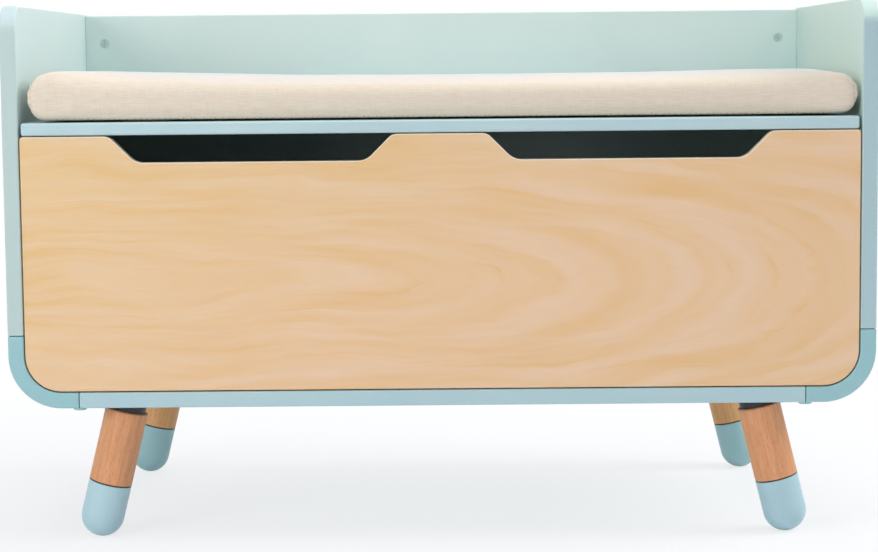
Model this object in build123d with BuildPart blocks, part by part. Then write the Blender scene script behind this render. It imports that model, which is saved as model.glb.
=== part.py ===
from build123d import *
import os
from math import cos, radians, sin

# A wooden toy box that is also a bench: a painted frame with bent lower corners, a clear-finished
# front with two hand cut-outs, a hinged seat lid under a loose cushion, and four splayed legs.
# Millimetres. Z = 0 is the floor, X runs along the front, -Y is the front and +Y the back.

os.makedirs("parts", exist_ok=True)

# Frame of painted boards
width = 820
depth = 410
height = 510
underside = 130
board = 15
corner_rise = 69
corner_run = 65.8
corner_radius = 50
arm_radius = 27
edge_round = 1.5
seam_round = 0.6
seam_gap = 0.8
back_drop = 2
board_fit = 0.2

# Front panel and its hand cut-outs
front_board = 12
shadow_gap = 1.2
front_edge = 0.8
front_top_round = 3
handhold_margin = 84.5
handhold_web = 89
handhold_depth = 25
handhold_slope = 135
handhold_floor_round = 18
handhold_lip_round = 12

# Seat lid and the fixed rail behind it
lid_top = 400
lid_board = 12
lid_end_gap = 2.5
lid_front_gap = 1
lid_round = 2.5
lid_joint_gap = 3

# Lid hinges
hinge_setback = 50
hinge_rise = 2
hinge_inset = 175
hinge_length = 70
leaf = 2
leaf_reach = 32
leaf_fit = 0.3
knuckle_radius = 5.5
knuckle_end = 16
knuckle_gap = 0.5
notch_margin = 1
pin_radius = 2.5
pin_clearance = 0.05

# Cushion and the strips that hold it
cushion_end_gap = 4
cushion_front_setback = 2
cushion_rear_gap = 12
cushion_height = 42
cushion_corner = 24
cushion_draw_in = 3
cushion_crown = 4
cushion_top_round = 21
cushion_base_round = 15
strip = 0.9
strip_gap = 0.2
strip_width = 40
strip_end_gap = 50.5
strip_inset = 115

# Battens, cleats and bumpers inside the box
batten = 18
batten_headroom = 25
batten_lift = 6
floor_batten_gap = 63
cleat = 15
cleat_setback = 25
cleat_rear_gap = 18
bumper_radius = 5
bumper_height = 1.7
bumper_gap = 0.3
bumper_inset = 30

# Cam fittings between back and sides
cam_radius = 5
cam_depth = 11
cam_fit = 0.1
cam_backset = 21
cam_drop = 31
cam_lift = 30
cam_slot = 1.2
cam_slot_depth = 1.5
cam_bolt_radius = 3
cam_bolt_neck = 2
cam_bolt_head = 4
cam_bolt_anchor = 10

# Dowels in the corner seams
dowel_radius = 4
dowel_length = 30
dowel_fit = 0.1
dowel_pitch = 240

# Caps under the bottom seams
cap_radius = 6.5
cap_height = 2.2
cap_round = 1
cap_inset = 8

# Legs, feet and leg plates
leg_inset_x = 107.5
leg_inset_y = 38
leg_splay = 14
leg_radius = 20.6
leg_drop = 7.2
leg_length = 72
leg_top_chamfer = 1
groove_width = 1.3
groove_depth = 2
foot_rim = 0.3
foot_flat = 0.5
tenon_radius = 10
tenon_length = 14
tenon_fit = 0.1
tenon_end_gap = 0.5
plate_size = 50
plate = 2
plate_corner = 6
plate_boss_radius = 18
hanger_radius = 4
hanger_length = 48
hanger_recess = 1.5
hanger_fit = 0.1

# Places that several pieces share
inner_half = width / 2 - board
floor_top = underside + board
seam_height = underside + corner_rise
seam_x = width / 2 - corner_run
inner_radius = corner_radius - board
back_face = depth / 2 - board
back_top = height - back_drop
lid_under = lid_top - lid_board
front_inner = -depth / 2 + front_board
front_top = lid_under - lid_front_gap
hinge_y = back_face - hinge_setback
hinge_z = lid_top + hinge_rise
sides = (("left", -1), ("right", 1))

# Where the dowels cross the four corner seams: upright in the side seams, level in the bottom seams
side_dowels = {
    side: [
        Location((side * (width / 2 - board / 2), y, seam_height))
        for y in (-dowel_pitch / 2, dowel_pitch / 2)
    ]
    for _, side in sides
}
bottom_dowels = {
    side: [
        Plane((side * seam_x, y, underside + board / 2), z_dir=(1, 0, 0)).location
        for y in (-dowel_pitch / 2, dowel_pitch / 2)
    ]
    for _, side in sides
}

# Cam fittings: two down each end of the back panel, each with its bolt in the side panel
cam_upper = back_top - cam_drop
cam_lower = seam_height + cam_lift
cam_heights = (cam_upper, cam_lower)
cam_faces = {side: [(side * (inner_half - cam_backset), z) for z in cam_heights] for _, side in sides}
cam_bolts_at = {
    side: [Plane((side * inner_half, back_face + board / 2, z), z_dir=(side, 0, 0)) for z in cam_heights]
    for _, side in sides
}

# Cleats under the lid's ends and battens behind the front panel
cleat_start = front_inner + cleat_setback
cleat_length = hinge_y - cleat_rear_gap - cleat_start
cleat_middle = cleat_start + cleat_length / 2
cleat_top = lid_under - bumper_gap - bumper_height
batten_base = seam_height + batten_lift
batten_height = lid_under - batten_headroom - batten_base
floor_batten_length = 2 * (seam_x - floor_batten_gap)
hinge_xs = {name: side * (inner_half - hinge_inset) for name, side in sides}

# Legs: each stands on a plane at the underside, square to its own splayed axis, Z down the leg
legs = {
    f"{end}_{name}": Plane(
        (side * (width / 2 - leg_inset_x), way * (depth / 2 - leg_inset_y), underside),
        x_dir=(0, 1, 0),
        z_dir=(side * sin(radians(leg_splay)), 0, -cos(radians(leg_splay))),
    )
    for end, way in (("front", -1), ("rear", 1))
    for name, side in sides
}

# Side panels: flat boards whose front top corner is rounded, doweled to the corner pieces below
for name, side in sides:
    with BuildPart() as side_panel:
        with BuildSketch(Plane.YZ.offset(side * (width / 2 - board / 2))) as outline:
            seam_top = seam_height + seam_gap
            with Locations((0, (seam_top + height) / 2)):
                Rectangle(depth, height - seam_top)
            fillet(outline.vertices().group_by(Axis.Y)[-1].sort_by(Axis.X)[0], arm_radius)
        extrude(amount=board / 2, both=True)
        seam_edges = side_panel.faces().sort_by(Axis.Z)[0].edges()
        rims = side_panel.faces().filter_by(Axis.X).edges() - seam_edges
        fillet(rims, edge_round)
        fillet(side_panel.faces().sort_by(Axis.Z)[0].edges(), seam_round)
        with Locations(*side_dowels[side]):
            Cylinder(dowel_radius + dowel_fit, dowel_length + 2 * dowel_fit, mode=Mode.SUBTRACT)
        with Locations(*cam_bolts_at[side]):
            Cylinder(
                cam_bolt_radius + cam_fit,
                cam_bolt_anchor + cam_fit,
                align=(Align.CENTER, Align.CENTER, Align.MIN),
                mode=Mode.SUBTRACT,
            )
    side_panel.part.label = f"side_panel_{name}"
    export_step(side_panel.part, f"parts/side_panel_{name}.step")

# Corner pieces: solid wood bends between the sides and the bottom, the full depth of the box
for name, side in sides:
    with BuildPart() as corner:
        with BuildSketch(Plane.XZ) as profile:
            with BuildLine():
                Polyline(
                    (side * width / 2, seam_height),
                    (side * width / 2, underside),
                    (side * seam_x, underside),
                    (side * seam_x, floor_top),
                    (side * inner_half, floor_top),
                    (side * inner_half, seam_height),
                    close=True,
                )
            make_face()
            fillet(profile.vertices().sort_by_distance((side * width / 2, underside))[0], corner_radius)
            fillet(profile.vertices().sort_by_distance((side * inner_half, floor_top))[0], inner_radius)
        extrude(amount=depth / 2, both=True)
        upper_end = corner.faces().sort_by(Axis.Z)[-1]
        lower_end = corner.faces().filter_by(Axis.X).sort_by(lambda face: abs(face.center().X))[0]
        rims = corner.faces().filter_by(Axis.Y).edges() - upper_end.edges() - lower_end.edges()
        fillet(rims, edge_round)
        fillet(corner.faces().sort_by(Axis.Z)[-1].edges(), seam_round)
        lower_end = corner.faces().filter_by(Axis.X).sort_by(lambda face: abs(face.center().X))[0]
        fillet(lower_end.edges(), seam_round)
        with Locations(*side_dowels[side], *bottom_dowels[side]):
            Cylinder(dowel_radius + dowel_fit, dowel_length + 2 * dowel_fit, mode=Mode.SUBTRACT)
    corner.part.label = f"corner_{name}"
    export_step(corner.part, f"parts/corner_{name}.step")

# Bottom panel between the corner pieces, with the legs' plates on its underside
with BuildPart() as bottom_panel:
    with BuildSketch(Plane.XY.offset(underside)):
        Rectangle(2 * (seam_x - seam_gap), depth)
    extrude(amount=board)
    ends = bottom_panel.faces().filter_by(Axis.X).edges()
    fillet(bottom_panel.edges().filter_by(Axis.X) - ends, edge_round)
    fillet(bottom_panel.faces().filter_by(Axis.X).edges(), seam_round)
    with Locations(*bottom_dowels[-1], *bottom_dowels[1]):
        Cylinder(dowel_radius + dowel_fit, dowel_length + 2 * dowel_fit, mode=Mode.SUBTRACT)
bottom_panel.part.label = "bottom_panel"
export_step(bottom_panel.part, "parts/bottom_panel.step")

# Back panel, set inside the frame and pulled to the side panels by the cam fittings
with BuildPart() as back_panel:
    with BuildSketch(Plane.XZ.offset(-depth / 2)) as outline:
        back_bottom = floor_top + board_fit
        with Locations((0, (back_bottom + back_top) / 2)):
            Rectangle(2 * (inner_half - board_fit), back_top - back_bottom)
        fillet(outline.vertices().group_by(Axis.Y)[0], inner_radius - board_fit)
    extrude(amount=board)
    fillet(back_panel.edges().filter_by(Axis.X).group_by(Axis.Z)[-1], edge_round)
    for _, side in sides:
        with BuildSketch(Plane.XZ.offset(-back_face)):
            with Locations(*cam_faces[side]):
                Circle(cam_radius + cam_fit)
        extrude(amount=-cam_depth - cam_fit, mode=Mode.SUBTRACT)
        with Locations(*cam_bolts_at[side]):
            Cylinder(
                cam_bolt_radius + cam_fit,
                cam_backset,
                align=(Align.CENTER, Align.CENTER, Align.MAX),
                mode=Mode.SUBTRACT,
            )
back_panel.part.label = "back_panel"
export_step(back_panel.part, "parts/back_panel.step")

# Cam fittings: a disc with a cross slot in the back panel's face, a bored side for its bolt's head
with BuildPart() as cam_discs:
    for _, side in sides:
        with BuildSketch(Plane.XZ.offset(-back_face)):
            with Locations(*cam_faces[side]):
                Circle(cam_radius)
        extrude(amount=-cam_depth)
        with BuildSketch(Plane.XZ.offset(-back_face)):
            with Locations(*cam_faces[side]):
                Rectangle(2 * cam_radius - 2 * cam_slot, cam_slot)
                Rectangle(cam_slot, 2 * cam_radius - 2 * cam_slot)
        extrude(amount=-cam_slot_depth, mode=Mode.SUBTRACT)
        with Locations(*cam_bolts_at[side]):
            Cylinder(
                cam_bolt_radius + cam_fit,
                cam_backset,
                align=(Align.CENTER, Align.CENTER, Align.MAX),
                mode=Mode.SUBTRACT,
            )
cam_discs.part.label = "cam_discs"
export_step(cam_discs.part, "parts/cam_discs.step")

# Cam bolts: a stem that screws into the side panel, a neck, and a round head inside the disc
with BuildPart(mode=Mode.PRIVATE) as cam_bolt:
    with BuildSketch(Plane.XZ):
        with BuildLine():
            Polyline(
                (0, cam_bolt_anchor),
                (cam_bolt_radius, cam_bolt_anchor),
                (cam_bolt_radius, -cam_bolt_anchor),
                (cam_bolt_neck, -cam_bolt_anchor),
                (cam_bolt_neck, cam_bolt_head - cam_backset),
                (cam_bolt_radius, cam_bolt_head - cam_backset),
                (cam_bolt_radius, cam_fit - cam_backset),
                (0, cam_fit - cam_backset),
                close=True,
            )
        make_face()
    revolve(axis=Axis.Z)
with BuildPart() as cam_bolts:
    with Locations(*cam_bolts_at[-1], *cam_bolts_at[1]):
        add(cam_bolt.part)
cam_bolts.part.label = "cam_bolts"
export_step(cam_bolts.part, "parts/cam_bolts.step")

# Beech dowels glued across the corner seams
with BuildPart() as corner_dowels:
    with Locations(*side_dowels[-1], *side_dowels[1], *bottom_dowels[-1], *bottom_dowels[1]):
        Cylinder(dowel_radius, dowel_length)
corner_dowels.part.label = "corner_dowels"
export_step(corner_dowels.part, "parts/corner_dowels.step")

# Caps over the bolts that draw the bottom seams tight, near the front and rear edges
with BuildPart() as seam_caps:
    with Locations((0, 0, underside)):
        with GridLocations(2 * seam_x, depth - 2 * cap_inset, 2, 2):
            Cylinder(cap_radius, cap_height, align=(Align.CENTER, Align.CENTER, Align.MAX))
    chamfer(seam_caps.edges().group_by(Axis.Z)[0], cap_round)
seam_caps.part.label = "seam_caps"
export_step(seam_caps.part, "parts/seam_caps.step")

# Front panel: clear-finished board inside a shadow gap, with two trapezoid hand cut-outs
with BuildPart() as front_panel:
    with BuildSketch(Plane.XZ.offset(-front_inner)) as outline:
        front_bottom = floor_top + shadow_gap
        with Locations((0, (front_bottom + front_top) / 2)):
            Rectangle(2 * (inner_half - shadow_gap), front_top - front_bottom)
        handhold_end = inner_half - handhold_margin
        handhold_x = (handhold_web / 2 + handhold_end) / 2
        handhold_width = handhold_end - handhold_web / 2
        with Locations(*[(side * handhold_x, front_top - handhold_depth / 2) for _, side in sides]):
            Trapezoid(handhold_width, handhold_depth, handhold_slope, mode=Mode.SUBTRACT)
        bottom_corners, handhold_floor, top_corners = outline.vertices().group_by(Axis.Y)
        fillet(bottom_corners, inner_radius - shadow_gap)
        fillet(handhold_floor, handhold_floor_round)
        top_corners = outline.vertices().group_by(Axis.Y)[-1].sort_by(Axis.X)
        fillet(top_corners[1:-1], handhold_lip_round)
        top_corners = outline.vertices().group_by(Axis.Y)[-1].sort_by(Axis.X)
        fillet([top_corners[0], top_corners[-1]], front_top_round)
    extrude(amount=front_board)
    chamfer(front_panel.faces().sort_by(Axis.Y)[0].edges(), front_edge)
front_panel.part.label = "front_panel"
export_step(front_panel.part, "parts/front_panel.step")

# Upright battens in the front corners and one along the floor hold the front panel from inside
for name, side in sides:
    with BuildPart() as front_batten:
        with Locations((side * (inner_half - batten / 2), front_inner + batten / 2, batten_base)):
            Box(batten, batten, batten_height, align=(Align.CENTER, Align.CENTER, Align.MIN))
    front_batten.part.label = f"front_batten_{name}"
    export_step(front_batten.part, f"parts/front_batten_{name}.step")
with BuildPart() as floor_batten:
    with Locations((0, front_inner + batten / 2, floor_top)):
        Box(floor_batten_length, batten, batten, align=(Align.CENTER, Align.CENTER, Align.MIN))
floor_batten.part.label = "floor_batten"
export_step(floor_batten.part, "parts/floor_batten.step")

# Cleats on the side panels carry the ends of the lid, each with two soft bumpers
for name, side in sides:
    with BuildPart() as lid_cleat:
        with Locations((side * (inner_half - cleat / 2), cleat_middle, cleat_top)):
            Box(cleat, cleat_length, cleat, align=(Align.CENTER, Align.CENTER, Align.MAX))
    lid_cleat.part.label = f"lid_cleat_{name}"
    export_step(lid_cleat.part, f"parts/lid_cleat_{name}.step")
with BuildPart() as lid_bumpers:
    with BuildSketch(Plane.XY.offset(cleat_top)):
        with Locations((0, cleat_middle)):
            with GridLocations(2 * inner_half - cleat, cleat_length - 2 * bumper_inset, 2, 2):
                Circle(bumper_radius)
    extrude(amount=bumper_height)
lid_bumpers.part.label = "lid_bumpers"
export_step(lid_bumpers.part, "parts/lid_bumpers.step")

# Rear seat rail: fixed to the back panel, it fills the seat behind the lid and carries the hinges
notch_length = hinge_length + 2 * notch_margin
notch_reach = knuckle_radius + notch_margin
mortise_length = hinge_length + 2 * leaf_fit
mortise_reach = leaf_reach + leaf_fit
rail_front = hinge_y + lid_joint_gap / 2
lid_rear = hinge_y - lid_joint_gap / 2
with BuildPart() as rear_seat_rail:
    rail_depth = back_face - board_fit - rail_front
    with Locations((0, rail_front, lid_under)):
        Box(
            2 * (inner_half - board_fit),
            rail_depth,
            lid_board,
            align=(Align.CENTER, Align.MIN, Align.MIN),
        )
    fillet(rear_seat_rail.faces().sort_by(Axis.Y)[0].edges().filter_by(Axis.X), edge_round)
    with Locations(*[(x, hinge_y, lid_top) for x in hinge_xs.values()]):
        Box(notch_length, 2 * notch_reach, 2 * lid_board, mode=Mode.SUBTRACT)
        Box(mortise_length, 2 * mortise_reach, 2 * leaf, mode=Mode.SUBTRACT)
rear_seat_rail.part.label = "rear_seat_rail"
export_step(rear_seat_rail.part, "parts/rear_seat_rail.step")

# Seat lid: it swings up on the hinges, with notches for their knuckles and mortises for their leaves
with BuildPart() as seat_lid:
    lid_half = inner_half - lid_end_gap
    with Locations((0, -depth / 2, lid_under)):
        Box(2 * lid_half, lid_rear + depth / 2, lid_board, align=(Align.CENTER, Align.MIN, Align.MIN))
    fillet(seat_lid.edges(), lid_round)
    with Locations(*[(x, hinge_y, lid_top) for x in hinge_xs.values()]):
        Box(notch_length, 2 * notch_reach, 2 * lid_board + 2 * lid_round, mode=Mode.SUBTRACT)
        Box(mortise_length, 2 * mortise_reach, 2 * leaf, mode=Mode.SUBTRACT)
seat_lid.part.label = "seat_lid"
export_step(seat_lid.part, "parts/seat_lid.step")

# Hinges: the rail leaf has the two end knuckles, the lid leaf the long middle one, on one pin
knuckle_clear = knuckle_radius + knuckle_gap
middle_knuckle = hinge_length - 2 * knuckle_end - 2 * knuckle_gap
end_offset = (hinge_length - knuckle_end) / 2
leaf_forms = (
    ("lid", -1, middle_knuckle, (0,)),
    ("rail", 1, knuckle_end, (-end_offset, end_offset)),
)
for name, hinge_x in hinge_xs.items():
    for leaf_name, toward, knuckle, offsets in leaf_forms:
        with BuildPart() as hinge_leaf:
            with BuildSketch(Plane.XY.offset(lid_top)):
                with Locations((hinge_x, hinge_y + toward * (leaf_reach + knuckle_clear) / 2)):
                    Rectangle(hinge_length, leaf_reach - knuckle_clear)
                with Locations(*[(hinge_x + x, hinge_y + toward * knuckle_clear / 2) for x in offsets]):
                    Rectangle(knuckle, knuckle_clear)
            extrude(amount=-leaf)
            with Locations(*[Plane((hinge_x + x, hinge_y, hinge_z), z_dir=(1, 0, 0)) for x in offsets]):
                Cylinder(knuckle_radius, knuckle)
            with Locations(Plane((hinge_x, hinge_y, hinge_z), z_dir=(1, 0, 0))):
                Cylinder(pin_radius + pin_clearance, hinge_length, mode=Mode.SUBTRACT)
        hinge_leaf.part.label = f"hinge_{name}_{leaf_name}_leaf"
        export_step(hinge_leaf.part, f"parts/hinge_{name}_{leaf_name}_leaf.step")
    with BuildPart() as hinge_pin:
        with Locations(Plane((hinge_x, hinge_y, hinge_z), z_dir=(1, 0, 0))):
            Cylinder(pin_radius, hinge_length)
    hinge_pin.part.label = f"hinge_{name}_pin"
    export_step(hinge_pin.part, f"parts/hinge_{name}_pin.step")

# Hook strips glued to the lid and loop strips sewn under the cushion
cushion_front = -depth / 2 + cushion_front_setback
cushion_width = 2 * (inner_half - cushion_end_gap)
cushion_depth = hinge_y - cushion_rear_gap - cushion_front
cushion_middle = cushion_front + cushion_depth / 2
cushion_base = lid_top + 2 * strip + strip_gap
for strip_name, strip_base in (("lid_hook_strips", lid_top), ("cushion_loop_strips", cushion_base - strip)):
    with BuildPart() as strips:
        with BuildSketch(Plane.XY.offset(strip_base)):
            with Locations(*[(side * (inner_half - strip_inset), cushion_middle) for _, side in sides]):
                Rectangle(strip_width, cushion_depth - 2 * strip_end_gap)
        extrude(amount=strip)
    strips.part.label = strip_name
    export_step(strips.part, f"parts/{strip_name}.step")

# Seat cushion: a foam pad in a woven cover, crowned across its depth, its sides drawn in
with BuildPart() as seat_cushion:
    with BuildSketch(Plane.YZ) as section:
        with BuildLine():
            shoulder = cushion_base + cushion_height - cushion_crown
            rear = cushion_front + cushion_depth
            Polyline(
                (cushion_front, shoulder),
                (cushion_front, cushion_base),
                (rear, cushion_base),
                (rear, shoulder),
            )
            crown = (cushion_middle, shoulder + cushion_crown)
            ThreePointArc((rear, shoulder), crown, (cushion_front, shoulder))
        make_face()
    extrude(amount=cushion_width / 2, both=True)
    with BuildSketch(Plane((0, cushion_middle, cushion_base))) as plan:
        with BuildLine():
            x = cushion_width / 2
            y = cushion_depth / 2
            for way in (-1, 1):
                ThreePointArc((-x, way * y), (0, way * (y - cushion_draw_in)), (x, way * y))
                ThreePointArc((way * x, -y), (way * (x - cushion_draw_in), 0), (way * x, y))
        make_face()
        fillet(plan.vertices(), cushion_corner)
    extrude(amount=cushion_height, mode=Mode.INTERSECT)
    fillet(seat_cushion.faces().sort_by(Axis.Z)[-1].edges(), cushion_top_round)
    fillet(seat_cushion.faces().sort_by(Axis.Z)[0].edges(), cushion_base_round)
seat_cushion.part.label = "seat_cushion"
export_step(seat_cushion.part, "parts/seat_cushion.step")

# Leg plates: a flange with a sloped boss that turns the leg to its splay
for name, leg in legs.items():
    with BuildPart() as leg_plate:
        with BuildSketch(leg.offset(leg_drop)):
            Circle(plate_boss_radius)
        extrude(amount=-leg_drop - plate_boss_radius)
        split(bisect_by=Plane.XY.offset(underside), keep=Keep.BOTTOM)
        with BuildSketch(Plane.XY.offset(underside)):
            with Locations((leg.origin.X, leg.origin.Y)):
                RectangleRounded(plate_size, plate_size, plate_corner)
        extrude(amount=-plate)
        with Locations(leg):
            Cylinder(hanger_radius + hanger_fit, 4 * leg_drop, mode=Mode.SUBTRACT)
    leg_plate.part.label = f"leg_plate_{name}"
    export_step(leg_plate.part, f"parts/leg_plate_{name}.step")

# Hanger bolts: half in the leg's end grain, half in the plate's boss
with BuildPart() as hanger_bolts:
    for leg in legs.values():
        with BuildSketch(leg.offset(hanger_recess)):
            Circle(hanger_radius)
        extrude(amount=hanger_length)
hanger_bolts.part.label = "hanger_bolts"
export_step(hanger_bolts.part, "parts/hanger_bolts.step")

# Legs: turned beech, grooved at the lower end, with a tenon that the painted foot takes in its socket
groove_start = leg_drop + leg_length
foot_start = groove_start + groove_width
foot_centre = (underside - leg_radius + foot_flat) / cos(radians(leg_splay))
for name, leg in legs.items():
    with BuildPart() as leg_post:
        with BuildSketch(leg.offset(leg_drop)):
            Circle(leg_radius)
        extrude(amount=leg_length)
        chamfer(leg_post.edges().filter_by(GeomType.CIRCLE).sort_by(Axis.Z)[-1], leg_top_chamfer)
        with BuildSketch(leg.offset(groove_start)):
            Circle(leg_radius - groove_depth)
        extrude(amount=groove_width)
        with BuildSketch(leg.offset(foot_start)):
            Circle(tenon_radius)
        extrude(amount=tenon_length)
        with BuildSketch(leg.offset(hanger_recess)):
            Circle(hanger_radius + hanger_fit)
        extrude(amount=hanger_length + hanger_fit, mode=Mode.SUBTRACT)
    leg_post.part.label = f"leg_{name}"
    export_step(leg_post.part, f"parts/leg_{name}.step")

    with BuildPart() as foot:
        with BuildSketch(leg.offset(foot_start)):
            Circle(leg_radius)
        extrude(amount=foot_centre - foot_start)
        chamfer(foot.edges().filter_by(GeomType.CIRCLE).sort_by(Axis.Z)[-1], foot_rim)
        with Locations(leg.offset(foot_centre)):
            Sphere(leg_radius)
        split(bisect_by=Plane.XY, keep=Keep.TOP)
        with BuildSketch(leg.offset(foot_start)):
            Circle(tenon_radius + tenon_fit)
        extrude(amount=tenon_length + tenon_end_gap, mode=Mode.SUBTRACT)
    foot.part.label = f"foot_{name}"
    export_step(foot.part, f"parts/foot_{name}.step")
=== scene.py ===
import math

import bmesh
import bpy
import numpy as np
from mathutils import Matrix, Vector
from mathutils.bvhtree import BVHTree


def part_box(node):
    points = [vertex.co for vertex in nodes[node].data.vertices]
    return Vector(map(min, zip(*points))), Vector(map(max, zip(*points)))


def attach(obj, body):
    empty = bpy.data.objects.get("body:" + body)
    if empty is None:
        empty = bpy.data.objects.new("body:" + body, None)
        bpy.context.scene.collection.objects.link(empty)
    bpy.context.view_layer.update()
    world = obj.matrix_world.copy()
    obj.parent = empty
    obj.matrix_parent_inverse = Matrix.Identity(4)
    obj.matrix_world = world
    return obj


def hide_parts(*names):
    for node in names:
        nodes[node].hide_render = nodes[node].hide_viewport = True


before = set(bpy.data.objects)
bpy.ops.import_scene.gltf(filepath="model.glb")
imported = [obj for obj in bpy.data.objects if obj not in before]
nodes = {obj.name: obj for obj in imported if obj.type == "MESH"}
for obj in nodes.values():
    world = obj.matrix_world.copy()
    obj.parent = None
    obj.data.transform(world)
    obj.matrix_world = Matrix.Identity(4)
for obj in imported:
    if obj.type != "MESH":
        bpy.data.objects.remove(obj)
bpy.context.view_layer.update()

# Carcass: two side panels, the back and the bottom, cut from 15 mm board with their edges eased.
# Each board is primed, sanded and sprayed with a satin mint lacquer before the cams draw it tight.


def linear(colour):
    """An sRGB hex colour as linear red, green, blue and alpha."""
    channels = [int(colour[start:start + 2], 16) / 255 for start in (1, 3, 5)]
    return tuple(c / 12.92 if c <= 0.04045 else ((c + 0.055) / 1.055) ** 2.4 for c in channels) + (1.0,)


def add(tree, kind, sockets=None, stops=(), **settings):
    """Adds a node: its settings, its sockets' values or links, and the colour stops of a ramp."""
    node = tree.nodes.new(kind)
    for name, value in settings.items():
        setattr(node, name, value)
    for key, value in (sockets or {}).items():
        source = value.outputs[0] if isinstance(value, bpy.types.Node) else value
        if isinstance(source, bpy.types.NodeSocket):
            tree.links.new(source, node.inputs[key])
        else:
            node.inputs[key].default_value = source
    for place, (position, colour) in enumerate(stops):
        if place > 1:
            node.color_ramp.elements.new(position)
        node.color_ramp.elements[place].position = position
        node.color_ramp.elements[place].color = linear(colour)
    return node


def new_material(name):
    """An empty material, with its node tree and its surface shader."""
    made = bpy.data.materials.new(name)
    made.use_nodes = True
    return made, made.node_tree, made.node_tree.nodes["Principled BSDF"]


def dress(material, *names):
    """Gives CAD nodes their finish."""
    for name in names:
        nodes[name].data.materials.clear()
        nodes[name].data.materials.append(material)


def sprayed_lacquer(name, pale, deep, shaded_front_edge=None):
    """Satin lacquer sprayed on board: soft clouds of tone, a fine orange peel and a low, broad gloss.

    The thin front face of the board can be given its own, deeper colour: painted shade for front edges that
    lie in shade.
    """
    material, tree, shader = new_material(name)
    place = add(tree, "ShaderNodeTexCoord").outputs["Object"]
    cloud = add(tree, "ShaderNodeTexNoise", {"Vector": place, "Scale": 1 / 0.14, "Detail": 3.0})
    tone = add(tree, "ShaderNodeValToRGB", {"Fac": cloud}, stops=[(0.3, deep), (0.7, pale)])
    peel = add(tree, "ShaderNodeTexNoise", {"Vector": place, "Scale": 1 / 0.0025, "Detail": 1.0})
    bump = add(tree, "ShaderNodeBump", {"Height": peel, "Strength": 0.35, "Distance": 0.00005})
    gloss = add(tree, "ShaderNodeMapRange", {"Value": cloud, "To Min": 0.36, "To Max": 0.46})
    colour = tone.outputs[0]
    # Painted shade: faces within 0.2 mm of the front plane take the deeper edge colour.
    if shaded_front_edge:
        front_face, edge_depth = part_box("side_panel_left")[0].y, 0.002
        depth = add(tree, "ShaderNodeSeparateXYZ", {"Vector": place}).outputs[1]
        front_edge_shade = add(
            tree, "ShaderNodeMapRange",
            {"Value": depth, "From Min": front_face + edge_depth, "From Max": front_face + edge_depth / 10},
        )
        edge_shaded = add(tree, "ShaderNodeMix", {0: front_edge_shade, 6: tone, 7: linear(shaded_front_edge)}, data_type="RGBA")
        colour = edge_shaded.outputs[2]
    tree.links.new(colour, shader.inputs["Base Color"])
    tree.links.new(gloss.outputs[0], shader.inputs["Roughness"])
    tree.links.new(bump.outputs[0], shader.inputs["Normal"])
    shader.inputs["IOR"].default_value = 1.48
    return material


# The left side panel's front edge takes a deeper mint: painted shade.
board_lacquer = sprayed_lacquer("satin_mint_lacquer_on_board", "#cddfdd", "#c6dbdb", "#bdd0cc")
dress(board_lacquer, "side_panel_left")
# The back panel's copy of the lacquer is paler: painted light on the back, which lies deep between the arms.
dress(sprayed_lacquer("satin_mint_lacquer_painted_light_back", "#dceeea", "#d4e9e6"), "back_panel")
# The right side panel's copy is paler on its faces, painted light on its inner face, and deeper on its front
# edge, painted shade.
dress(sprayed_lacquer("satin_mint_lacquer_painted_light_right", "#d1e6dd", "#cae2db", "#b3cccf"), "side_panel_right")
# The bottom panel's copy of the lacquer is deeper: painted shade on its front edge.
dress(sprayed_lacquer("satin_mint_lacquer_painted_shade_bottom", "#b9d3d6", "#b0ced3"), "bottom_panel")

# Corner pieces: bent from thin plies glued over a form, with a deeper, more saturated mint lacquer
# than the boards. Dowels and capped bolts join them to sides and bottom.
corner_lacquer = sprayed_lacquer("satin_mint_lacquer_on_plies", "#a1cacd", "#98c4c9")
dress(corner_lacquer, "corner_left", "corner_right", "seam_caps")

# Cams, their bolts and the dowels: die-cast zinc discs turned with a cross screwdriver, plated steel
# bolts, and fluted beech pegs glued into the corners. Only the discs' faces show inside the box.
cast_zinc, tree, shader = new_material("die_cast_zinc")
# Cast zinc is a soft grey metal with a faintly mottled skin and dull, wide highlights.
place = add(tree, "ShaderNodeTexCoord").outputs["Object"]
mottle = add(tree, "ShaderNodeTexNoise", {"Vector": place, "Scale": 1 / 0.0012, "Detail": 2.0})
tone = add(tree, "ShaderNodeValToRGB", {"Fac": mottle}, stops=[(0.3, "#b4c8c8"), (0.7, "#cddedd")])
tree.links.new(tone.outputs[0], shader.inputs["Base Color"])
shader.inputs["Metallic"].default_value = 0.5
shader.inputs["Roughness"].default_value = 0.5
dress(cast_zinc, "cam_discs")

zinc_plate, tree, shader = new_material("bright_zinc_plate")
# Zinc plate on drawn steel: a cool silver with fine lengthwise streaks that break up its shine.
place = add(tree, "ShaderNodeTexCoord").outputs["Object"]
drawn = add(tree, "ShaderNodeMapping", {"Vector": place, "Scale": (1 / 0.012, 1 / 0.0006, 1 / 0.0006)})
streak = add(tree, "ShaderNodeTexNoise", {"Vector": drawn, "Scale": 1.0, "Detail": 2.0})
tone = add(tree, "ShaderNodeValToRGB", {"Fac": streak}, stops=[(0.3, "#a9adb0"), (0.7, "#c6c9cb")])
gloss = add(tree, "ShaderNodeMapRange", {"Value": streak, "To Min": 0.26, "To Max": 0.42})
tree.links.new(tone.outputs[0], shader.inputs["Base Color"])
tree.links.new(gloss.outputs[0], shader.inputs["Roughness"])
shader.inputs["Metallic"].default_value = 1.0
dress(zinc_plate, "cam_bolts")


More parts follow.
